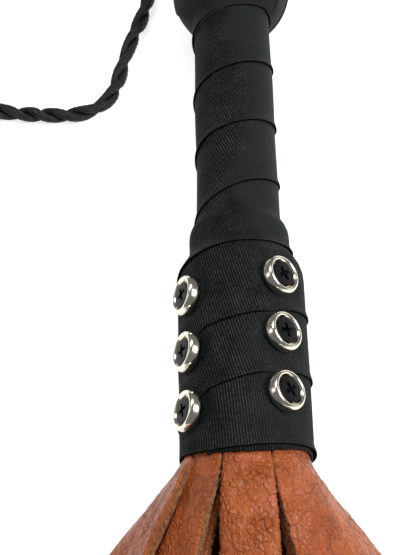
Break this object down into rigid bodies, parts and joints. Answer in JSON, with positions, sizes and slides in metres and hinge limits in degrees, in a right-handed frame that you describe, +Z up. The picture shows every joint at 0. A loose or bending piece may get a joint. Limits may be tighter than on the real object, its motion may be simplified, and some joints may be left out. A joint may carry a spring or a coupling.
{
  "type": "leather whisk fly swatter",
  "caption": "Leather whisk fly swatter: taped stick handle with ball end and wrist loop, screwed collar with cup washers, and a fringe of pebbled leather tails.",
  "frame": {"origin": "under the middle of the object, on the surface it lies on", "axes": "+Y along the handle towards the ball end, tails towards -Y; +Z up from the surface; +X across, to the right seen from the tails with the ball end ahead"},
  "size_m": [0.2568, 0.5259, 0.0402],
  "materials": {
    "wood": "plain sanded hardwood, hidden under the tape",
    "grip_tape": "black ribbed friction tape, matt with a soft sheen",
    "leather": "orange-brown pebbled full-grain leather, satin, raw tan edges",
    "nickel": "polished nickel plate",
    "black_steel": "black oxide, satin",
    "cord": "black two-strand twisted cord"
  },
  "bodies": {
    "handle": {"handle_core": "wood", "knob_ball": "wood", "knob_wrap": "grip_tape", "inner_leather_band": "leather", "outer_leather_band": "leather", "binding_tape": "grip_tape", "cup_washer_A1": "nickel", "screw_A1": "black_steel", "cup_washer_A2": "nickel", "screw_A2": "black_steel", "cup_washer_A3": "nickel", "screw_A3": "black_steel", "cup_washer_B1": "nickel", "screw_B1": "black_steel", "cup_washer_B2": "nickel", "screw_B2": "black_steel", "cup_washer_B3": "nickel", "screw_B3": "black_steel", "cup_washer_C1": "nickel", "screw_C1": "black_steel", "cup_washer_C2": "nickel", "screw_C2": "black_steel", "cup_washer_C3": "nickel", "screw_C3": "black_steel", "cup_washer_D1": "nickel", "screw_D1": "black_steel", "cup_washer_D2": "nickel", "screw_D2": "black_steel", "cup_washer_D3": "nickel", "screw_D3": "black_steel", "wrist_cord": "cord"},
    "outer_tail_1": {"outer_tail_1": "leather"},
    "inner_tail_1": {"inner_tail_1": "leather"},
    "outer_tail_2": {"outer_tail_2": "leather"},
    "inner_tail_2": {"inner_tail_2": "leather"},
    "outer_tail_3": {"outer_tail_3": "leather"},
    "inner_tail_3": {"inner_tail_3": "leather"},
    "outer_tail_4": {"outer_tail_4": "leather"},
    "inner_tail_4": {"inner_tail_4": "leather"},
    "outer_tail_5": {"outer_tail_5": "leather"},
    "inner_tail_5": {"inner_tail_5": "leather"},
    "outer_tail_6": {"outer_tail_6": "leather"},
    "inner_tail_6": {"inner_tail_6": "leather"},
    "outer_tail_7": {"outer_tail_7": "leather"},
    "inner_tail_7": {"inner_tail_7": "leather"},
    "outer_tail_8": {"outer_tail_8": "leather"},
    "inner_tail_8": {"inner_tail_8": "leather"}
  },
  "joints": [
    {"name": "outer_tail_1_flex", "type": "hinge", "parent": "handle", "child": "outer_tail_1", "pos_m": [0, 0.05228, 0.0373], "axis": [-1, 0, 0], "range_deg": [0, 70]},
    {"name": "inner_tail_1_flex", "type": "hinge", "parent": "handle", "child": "inner_tail_1", "pos_m": [0, 0.05228, 0.0373], "axis": [-1, 0, 0], "range_deg": [0, 70]},
    {"name": "outer_tail_2_flex", "type": "hinge", "parent": "handle", "child": "outer_tail_2", "pos_m": [0.0085, 0.05228, 0.03502], "axis": [-0.866, 0, 0.5], "range_deg": [0, 70]},
    {"name": "inner_tail_2_flex", "type": "hinge", "parent": "handle", "child": "inner_tail_2", "pos_m": [0.0085, 0.05228, 0.03502], "axis": [-0.866, 0, 0.5], "range_deg": [0, 70]},
    {"name": "outer_tail_3_flex", "type": "hinge", "parent": "handle", "child": "outer_tail_3", "pos_m": [0.017, 0.05228, 0.0203], "axis": [0, 0, 1], "range_deg": [0, 35]},
    {"name": "inner_tail_3_flex", "type": "hinge", "parent": "handle", "child": "inner_tail_3", "pos_m": [0.017, 0.05228, 0.0203], "axis": [0, 0, 1], "range_deg": [0, 35]},
    {"name": "outer_tail_4_flex", "type": "hinge", "parent": "handle", "child": "outer_tail_4", "pos_m": [0.0085, 0.05228, 0.00558], "axis": [0.866, 0, 0.5], "range_deg": [0, 60]},
    {"name": "inner_tail_4_flex", "type": "hinge", "parent": "handle", "child": "inner_tail_4", "pos_m": [0.0085, 0.05228, 0.00558], "axis": [0.866, 0, 0.5], "range_deg": [0, 60]},
    {"name": "outer_tail_5_flex", "type": "hinge", "parent": "handle", "child": "outer_tail_5", "pos_m": [0, 0.05228, 0.0033], "axis": [1, 0, 0], "range_deg": [0, 60]},
    {"name": "inner_tail_5_flex", "type": "hinge", "parent": "handle", "child": "inner_tail_5", "pos_m": [0, 0.05228, 0.0033], "axis": [1, 0, 0], "range_deg": [0, 60]},
    {"name": "outer_tail_6_flex", "type": "hinge", "parent": "handle", "child": "outer_tail_6", "pos_m": [-0.0085, 0.05228, 0.00558], "axis": [0.866, 0, -0.5], "range_deg": [0, 60]},
    {"name": "inner_tail_6_flex", "type": "hinge", "parent": "handle", "child": "inner_tail_6", "pos_m": [-0.0085, 0.05228, 0.00558], "axis": [0.866, 0, -0.5], "range_deg": [0, 60]},
    {"name": "outer_tail_7_flex", "type": "hinge", "parent": "handle", "child": "outer_tail_7", "pos_m": [-0.017, 0.05228, 0.0203], "axis": [0, 0, -1], "range_deg": [0, 35]},
    {"name": "inner_tail_7_flex", "type": "hinge", "parent": "handle", "child": "inner_tail_7", "pos_m": [-0.017, 0.05228, 0.0203], "axis": [0, 0, -1], "range_deg": [0, 35]},
    {"name": "outer_tail_8_flex", "type": "hinge", "parent": "handle", "child": "outer_tail_8", "pos_m": [-0.0085, 0.05228, 0.03502], "axis": [-0.866, 0, -0.5], "range_deg": [0, 70]},
    {"name": "inner_tail_8_flex", "type": "hinge", "parent": "handle", "child": "inner_tail_8", "pos_m": [-0.0085, 0.05228, 0.03502], "axis": [-0.866, 0, -0.5], "range_deg": [0, 70]}
  ],
  "couplings": [
    {"joint": "inner_tail_1_flex", "follows": "outer_tail_1_flex", "ratio": 1},
    {"joint": "inner_tail_2_flex", "follows": "outer_tail_2_flex", "ratio": 1},
    {"joint": "inner_tail_3_flex", "follows": "outer_tail_3_flex", "ratio": 1},
    {"joint": "inner_tail_4_flex", "follows": "outer_tail_4_flex", "ratio": 1},
    {"joint": "inner_tail_5_flex", "follows": "outer_tail_5_flex", "ratio": 1},
    {"joint": "inner_tail_6_flex", "follows": "outer_tail_6_flex", "ratio": 1},
    {"joint": "inner_tail_7_flex", "follows": "outer_tail_7_flex", "ratio": 1},
    {"joint": "inner_tail_8_flex", "follows": "outer_tail_8_flex", "ratio": 1}
  ]
}
